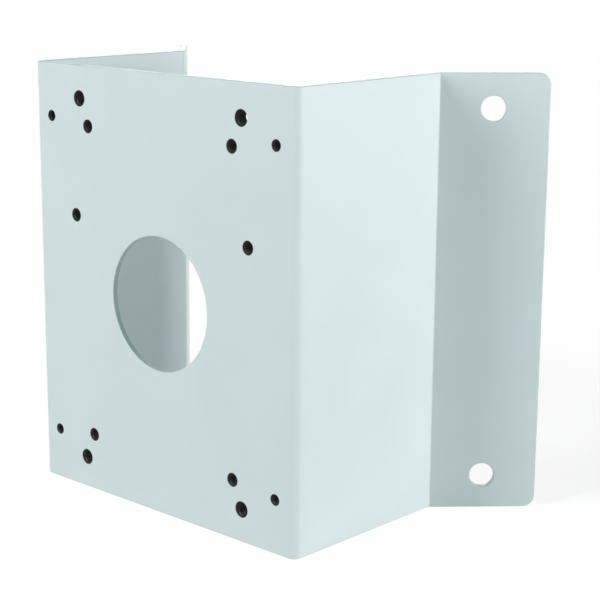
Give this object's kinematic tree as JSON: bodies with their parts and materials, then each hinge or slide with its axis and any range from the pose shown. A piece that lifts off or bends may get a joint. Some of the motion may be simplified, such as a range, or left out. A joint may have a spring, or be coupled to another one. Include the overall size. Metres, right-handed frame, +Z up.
{
  "type": "camera corner bracket",
  "caption": "Folded sheet steel bracket that carries a wall camera on an outside building corner, with tapped holes and a cable hole in its front plate.",
  "frame": {"origin": "on the surface that the bracket stands on, under the middle of its box", "axes": "+X across the front plate, -Y out of its front face towards the camera, +Y towards the building corner, +Z up as it is fixed to the wall"},
  "size_m": [0.2118, 0.1146, 0.18],
  "materials": {
    "powder_coat": "pale grey satin powder coat with a fine orange peel"
  },
  "bodies": {
    "root": {"corner_bracket": "powder_coat"}
  },
  "joints": []
}
